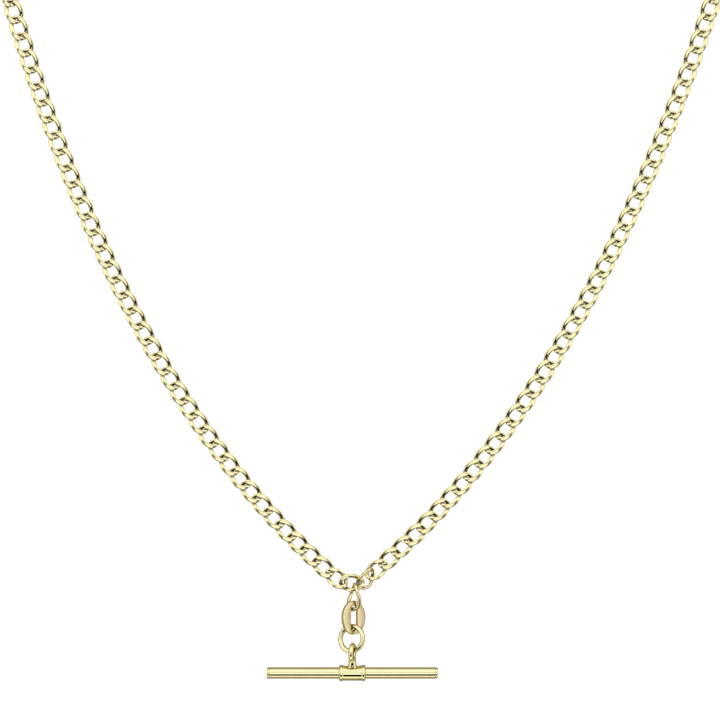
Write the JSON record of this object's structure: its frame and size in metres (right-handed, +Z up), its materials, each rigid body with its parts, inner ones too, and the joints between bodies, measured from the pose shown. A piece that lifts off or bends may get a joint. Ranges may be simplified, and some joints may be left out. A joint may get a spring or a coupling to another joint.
{
  "type": "pocket watch chain",
  "caption": "Curb-link watch chain in two arms that meet at a drop with an oval link, a jump ring and a T-bar, each arm ending in a sprung swivel hook.",
  "frame": {"origin": "middle of the laid-out chain's footprint, on the surface it lies on", "axes": "+Z up from the surface, +Y from the T-bar towards the swivel hooks, +X to the right seen from above"},
  "size_m": [0.1528, 0.162, 0.0051],
  "materials": {
    "gold_chain": "polished pale yellow gold, curb links and rings",
    "gold_fittings": "polished pale yellow gold, T-bar and swivels",
    "spring_steel": "bright steel, hook pin and spring"
  },
  "bodies": {
    "centre_link": {"centre_link": "gold_chain"},
    "right_foot_link": {"right_foot_link": "gold_chain"},
    "drop_link": {"drop_link": "gold_chain"},
    "oval_link": {"oval_link": "gold_chain"},
    "jump_ring": {"jump_ring": "gold_chain"},
    "t_bar": {"t_bar_rod": "gold_fittings", "t_bar_collar": "gold_fittings", "t_bar_eye": "gold_fittings"},
    "left_chain_01": {"left_chain_01": "gold_chain"},
    "left_chain_02": {"left_chain_02": "gold_chain"},
    "left_chain_03": {"left_chain_03": "gold_chain"},
    "left_chain_04": {"left_chain_04": "gold_chain"},
    "left_chain_05": {"left_chain_05": "gold_chain"},
    "left_chain_06": {"left_chain_06": "gold_chain"},
    "left_chain_07": {"left_chain_07": "gold_chain"},
    "left_chain_08": {"left_chain_08": "gold_chain"},
    "left_chain_09": {"left_chain_09": "gold_chain"},
    "left_chain_10": {"left_chain_10": "gold_chain"},
    "left_chain_11": {"left_chain_11": "gold_chain"},
    "left_chain_12": {"left_chain_12": "gold_chain"},
    "left_chain_13": {"left_chain_13": "gold_chain"},
    "left_chain_14": {"left_chain_14": "gold_chain"},
    "left_chain_15": {"left_chain_15": "gold_chain"},
    "left_chain_16": {"left_chain_16": "gold_chain"},
    "left_chain_17": {"left_chain_17": "gold_chain"},
    "left_chain_18": {"left_chain_18": "gold_chain"},
    "left_chain_19": {"left_chain_19": "gold_chain"},
    "left_chain_20": {"left_chain_20": "gold_chain"},
    "left_end_ring": {"left_end_ring": "gold_chain"},
    "left_swivel_eye": {"left_swivel_eye": "gold_fittings"},
    "left_hook": {"left_hook_body": "gold_fittings", "left_gate_pin": "spring_steel", "left_gate_spring": "spring_steel"},
    "left_gate": {"left_hook_gate": "gold_fittings"},
    "right_chain_01": {"right_chain_01": "gold_chain"},
    "right_chain_02": {"right_chain_02": "gold_chain"},
    "right_chain_03": {"right_chain_03": "gold_chain"},
    "right_chain_04": {"right_chain_04": "gold_chain"},
    "right_chain_05": {"right_chain_05": "gold_chain"},
    "right_chain_06": {"right_chain_06": "gold_chain"},
    "right_chain_07": {"right_chain_07": "gold_chain"},
    "right_chain_08": {"right_chain_08": "gold_chain"},
    "right_chain_09": {"right_chain_09": "gold_chain"},
    "right_chain_10": {"right_chain_10": "gold_chain"},
    "right_chain_11": {"right_chain_11": "gold_chain"},
    "right_chain_12": {"right_chain_12": "gold_chain"},
    "right_chain_13": {"right_chain_13": "gold_chain"},
    "right_chain_14": {"right_chain_14": "gold_chain"},
    "right_chain_15": {"right_chain_15": "gold_chain"},
    "right_chain_16": {"right_chain_16": "gold_chain"},
    "right_chain_17": {"right_chain_17": "gold_chain"},
    "right_chain_18": {"right_chain_18": "gold_chain"},
    "right_chain_19": {"right_chain_19": "gold_chain"},
    "right_chain_20": {"right_chain_20": "gold_chain"},
    "right_end_ring": {"right_end_ring": "gold_chain"},
    "right_swivel_eye": {"right_swivel_eye": "gold_fittings"},
    "right_hook": {"right_hook_body": "gold_fittings", "right_gate_pin": "spring_steel", "right_gate_spring": "spring_steel"},
    "right_gate": {"right_hook_gate": "gold_fittings"}
  },
  "joints": [
    {"name": "drop_swing", "type": "hinge", "parent": "centre_link", "child": "drop_link", "pos_m": [-0.0018, -0.0621, 0.00095], "axis": [0.9988, 0.0499, 0], "range_deg": [-12, 8]},
    {"name": "drop_oval_turn", "type": "hinge", "parent": "drop_link", "child": "oval_link", "pos_m": [-0.00155, -0.0663, 0.0021], "axis": [0.6213, -0.1036, -0.7767], "range_deg": [-12, 12]},
    {"name": "jump_ring_turn", "type": "hinge", "parent": "oval_link", "child": "jump_ring", "pos_m": [-0.0019, -0.0703, 0.0022], "axis": [0.8, 0, -0.6], "range_deg": [-12, 12]},
    {"name": "bar_swing", "type": "hinge", "parent": "jump_ring", "child": "t_bar", "pos_m": [-0.00212, -0.07491, 0.00267], "axis": [0.888, 0.05, 0.457], "range_deg": [-15, 15]},
    {"name": "left_chain_01_swing", "type": "hinge", "parent": "centre_link", "child": "left_chain_01", "pos_m": [-0.00365, -0.06082, 0.0011], "axis": [0, 0, 1], "range_deg": [-8, 15]},
    {"name": "left_chain_02_drape", "type": "hinge", "parent": "left_chain_01", "child": "left_chain_02", "pos_m": [-0.00907, -0.05689, 0.00112], "axis": [0.6786, 0.7345, 0], "range_deg": [-15, 15]},
    {"name": "left_chain_03_swing", "type": "hinge", "parent": "left_chain_02", "child": "left_chain_03", "pos_m": [-0.01406, -0.05204, 0.00112], "axis": [0, 0, 1], "range_deg": [-15, 15]},
    {"name": "left_chain_04_drape", "type": "hinge", "parent": "left_chain_03", "child": "left_chain_04", "pos_m": [-0.01882, -0.04696, 0.00112], "axis": [-0.7454, -0.6666, 0], "range_deg": [-15, 15]},
    {"name": "left_chain_05_swing", "type": "hinge", "parent": "left_chain_04", "child": "left_chain_05", "pos_m": [-0.02334, -0.04167, 0.00112], "axis": [0, 0, 1], "range_deg": [-15, 15]},
    {"name": "left_chain_06_drape", "type": "hinge", "parent": "left_chain_05", "child": "left_chain_06", "pos_m": [-0.02764, -0.0362, 0.00112], "axis": [-0.7982, -0.6024, 0], "range_deg": [-15, 15]},
    {"name": "left_chain_07_swing", "type": "hinge", "parent": "left_chain_06", "child": "left_chain_07", "pos_m": [-0.03173, -0.03057, 0.00112], "axis": [0, 0, 1], "range_deg": [-15, 15]},
    {"name": "left_chain_08_drape", "type": "hinge", "parent": "left_chain_07", "child": "left_chain_08", "pos_m": [-0.03561, -0.02479, 0.00112], "axis": [0.8398, 0.5428, 0], "range_deg": [-15, 15]},
    {"name": "left_chain_09_swing", "type": "hinge", "parent": "left_chain_08", "child": "left_chain_09", "pos_m": [-0.03929, -0.01888, 0.00112], "axis": [0, 0, 1], "range_deg": [-15, 15]},
    {"name": "left_chain_10_drape", "type": "hinge", "parent": "left_chain_09", "child": "left_chain_10", "pos_m": [-0.04278, -0.01286, 0.00112], "axis": [0.8726, 0.4884, 0], "range_deg": [-15, 15]},
    {"name": "left_chain_11_swing", "type": "hinge", "parent": "left_chain_10", "child": "left_chain_11", "pos_m": [-0.04609, -0.00674, 0.00112], "axis": [0, 0, 1], "range_deg": [-15, 15]},
    {"name": "left_chain_12_drape", "type": "hinge", "parent": "left_chain_11", "child": "left_chain_12", "pos_m": [-0.04923, -0.00053, 0.00112], "axis": [-0.8983, -0.4393, 0], "range_deg": [-15, 15]},
    {"name": "left_chain_13_swing", "type": "hinge", "parent": "left_chain_12", "child": "left_chain_13", "pos_m": [-0.05221, 0.00576, 0.00112], "axis": [0, 0, 1], "range_deg": [-15, 15]},
    {"name": "left_chain_14_drape", "type": "hinge", "parent": "left_chain_13", "child": "left_chain_14", "pos_m": [-0.05503, 0.01212, 0.00112], "axis": [-0.9186, -0.3953, 0], "range_deg": [-15, 15]},
    {"name": "left_chain_15_swing", "type": "hinge", "parent": "left_chain_14", "child": "left_chain_15", "pos_m": [-0.05771, 0.01854, 0.00112], "axis": [0, 0, 1], "range_deg": [-15, 15]},
    {"name": "left_chain_16_drape", "type": "hinge", "parent": "left_chain_15", "child": "left_chain_16", "pos_m": [-0.06026, 0.02502, 0.00112], "axis": [0.9345, 0.3561, 0], "range_deg": [-15, 15]},
    {"name": "left_chain_17_swing", "type": "hinge", "parent": "left_chain_16", "child": "left_chain_17", "pos_m": [-0.06267, 0.03155, 0.00112], "axis": [0, 0, 1], "range_deg": [-15, 15]},
    {"name": "left_chain_18_drape", "type": "hinge", "parent": "left_chain_17", "child": "left_chain_18", "pos_m": [-0.06497, 0.03812, 0.00112], "axis": [0.947, 0.3213, 0], "range_deg": [-15, 15]},
    {"name": "left_chain_19_swing", "type": "hinge", "parent": "left_chain_18", "child": "left_chain_19", "pos_m": [-0.06715, 0.04473, 0.00112], "axis": [0, 0, 1], "range_deg": [-15, 15]},
    {"name": "left_chain_20_drape", "type": "hinge", "parent": "left_chain_19", "child": "left_chain_20", "pos_m": [-0.06922, 0.05137, 0.00112], "axis": [-0.9569, -0.2905, 0], "range_deg": [-15, 15]},
    {"name": "end_ring_left_swing", "type": "hinge", "parent": "left_chain_20", "child": "left_end_ring", "pos_m": [-0.07133, 0.0585, 0.00112], "axis": [-0.6813, -0.1987, -0.7046], "range_deg": [-15, 15]},
    {"name": "swivel_left_swing", "type": "hinge", "parent": "left_end_ring", "child": "left_swivel_eye", "pos_m": [-0.07212, 0.0612, 0.00191], "axis": [0.8629, 0.2516, -0.4384], "range_deg": [-15, 15]},
    {"name": "hook_left_spin", "type": "hinge", "parent": "left_swivel_eye", "child": "left_hook", "pos_m": [-0.0718, 0.06562, 0.00175], "axis": [0, 1, 0], "continuous": true},
    {"name": "gate_left_open", "type": "hinge", "parent": "left_hook", "child": "left_gate", "pos_m": [-0.0753, 0.07112, 0.00175], "axis": [0, 0, -1], "range_deg": [0, 40], "stiffness_Nm_per_rad": 0.0002, "springref_deg": -20.05},
    {"name": "right_chain_01_swing", "type": "hinge", "parent": "right_foot_link", "child": "right_chain_01", "pos_m": [0.00177, -0.05953, 0.00128], "axis": [0, 0, 1], "range_deg": [-15, 15]},
    {"name": "right_chain_02_drape", "type": "hinge", "parent": "right_chain_01", "child": "right_chain_02", "pos_m": [0.00671, -0.05523, 0.00112], "axis": [0.6748, -0.738, 0], "range_deg": [-15, 15]},
    {"name": "right_chain_03_swing", "type": "hinge", "parent": "right_chain_02", "child": "right_chain_03", "pos_m": [0.01174, -0.05041, 0.00112], "axis": [0, 0, 1], "range_deg": [-15, 15]},
    {"name": "right_chain_04_drape", "type": "hinge", "parent": "right_chain_03", "child": "right_chain_04", "pos_m": [0.01653, -0.04537, 0.00112], "axis": [-0.7391, 0.6736, 0], "range_deg": [-15, 15]},
    {"name": "right_chain_05_swing", "type": "hinge", "parent": "right_chain_04", "child": "right_chain_05", "pos_m": [0.02111, -0.04013, 0.00112], "axis": [0, 0, 1], "range_deg": [-15, 15]},
    {"name": "right_chain_06_drape", "type": "hinge", "parent": "right_chain_05", "child": "right_chain_06", "pos_m": [0.02548, -0.03471, 0.00112], "axis": [-0.7903, 0.6127, 0], "range_deg": [-15, 15]},
    {"name": "right_chain_07_swing", "type": "hinge", "parent": "right_chain_06", "child": "right_chain_07", "pos_m": [0.02965, -0.02914, 0.00112], "axis": [0, 0, 1], "range_deg": [-15, 15]},
    {"name": "right_chain_08_drape", "type": "hinge", "parent": "right_chain_07", "child": "right_chain_08", "pos_m": [0.03361, -0.02342, 0.00112], "axis": [0.8309, -0.5564, 0], "range_deg": [-15, 15]},
    {"name": "right_chain_09_swing", "type": "hinge", "parent": "right_chain_08", "child": "right_chain_09", "pos_m": [0.03739, -0.01758, 0.00112], "axis": [0, 0, 1], "range_deg": [-15, 15]},
    {"name": "right_chain_10_drape", "type": "hinge", "parent": "right_chain_09", "child": "right_chain_10", "pos_m": [0.04099, -0.01162, 0.00112], "axis": [0.8631, -0.505, 0], "range_deg": [-15, 15]},
    {"name": "right_chain_11_swing", "type": "hinge", "parent": "right_chain_10", "child": "right_chain_11", "pos_m": [0.04442, -0.00557, 0.00112], "axis": [0, 0, 1], "range_deg": [-15, 15]},
    {"name": "right_chain_12_drape", "type": "hinge", "parent": "right_chain_11", "child": "right_chain_12", "pos_m": [0.04769, 0.00058, 0.00112], "axis": [-0.8887, 0.4585, 0], "range_deg": [-15, 15]},
    {"name": "right_chain_13_swing", "type": "hinge", "parent": "right_chain_12", "child": "right_chain_13", "pos_m": [0.05081, 0.0068, 0.00112], "axis": [0, 0, 1], "range_deg": [-15, 15]},
    {"name": "right_chain_14_drape", "type": "hinge", "parent": "right_chain_13", "child": "right_chain_14", "pos_m": [0.05378, 0.0131, 0.00112], "axis": [-0.9089, 0.4169, 0], "range_deg": [-15, 15]},
    {"name": "right_chain_15_swing", "type": "hinge", "parent": "right_chain_14", "child": "right_chain_15", "pos_m": [0.05662, 0.01945, 0.00112], "axis": [0, 0, 1], "range_deg": [-15, 15]},
    {"name": "right_chain_16_drape", "type": "hinge", "parent": "right_chain_15", "child": "right_chain_16", "pos_m": [0.05932, 0.02586, 0.00112], "axis": [0.9251, -0.3798, 0], "range_deg": [-15, 15]},
    {"name": "right_chain_17_swing", "type": "hinge", "parent": "right_chain_16", "child": "right_chain_17", "pos_m": [0.06191, 0.03233, 0.00112], "axis": [0, 0, 1], "range_deg": [-15, 15]},
    {"name": "right_chain_18_drape", "type": "hinge", "parent": "right_chain_17", "child": "right_chain_18", "pos_m": [0.06437, 0.03883, 0.00112], "axis": [0.9379, -0.3469, 0], "range_deg": [-15, 15]},
    {"name": "right_chain_19_swing", "type": "hinge", "parent": "right_chain_18", "child": "right_chain_19", "pos_m": [0.06674, 0.04538, 0.00112], "axis": [0, 0, 1], "range_deg": [-15, 15]},
    {"name": "right_chain_20_drape", "type": "hinge", "parent": "right_chain_19", "child": "right_chain_20", "pos_m": [0.069, 0.05196, 0.00112], "axis": [-0.9482, 0.3177, 0], "range_deg": [-15, 15]},
    {"name": "end_ring_right_swing", "type": "hinge", "parent": "right_chain_20", "child": "right_end_ring", "pos_m": [0.07131, 0.05902, 0.00112], "axis": [-0.6752, 0.2184, 0.7046], "range_deg": [-15, 15]},
    {"name": "swivel_right_swing", "type": "hinge", "parent": "right_end_ring", "child": "right_swivel_eye", "pos_m": [0.07218, 0.0617, 0.00191], "axis": [0.8552, -0.2766, 0.4384], "range_deg": [-15, 15]},
    {"name": "hook_right_spin", "type": "hinge", "parent": "right_swivel_eye", "child": "right_hook", "pos_m": [0.07181, 0.06614, 0.00175], "axis": [0, 1, 0], "continuous": true},
    {"name": "gate_right_open", "type": "hinge", "parent": "right_hook", "child": "right_gate", "pos_m": [0.06831, 0.07164, 0.00175], "axis": [0, 0, -1], "range_deg": [0, 40], "stiffness_Nm_per_rad": 0.0002, "springref_deg": -20.05},
    {"name": "right_foot_link_drape", "type": "hinge", "parent": "centre_link", "child": "right_foot_link", "pos_m": [-0.00069, -0.06082, 0.00127], "axis": [0, 1, 0], "range_deg": [-8, 8]}
  ]
}
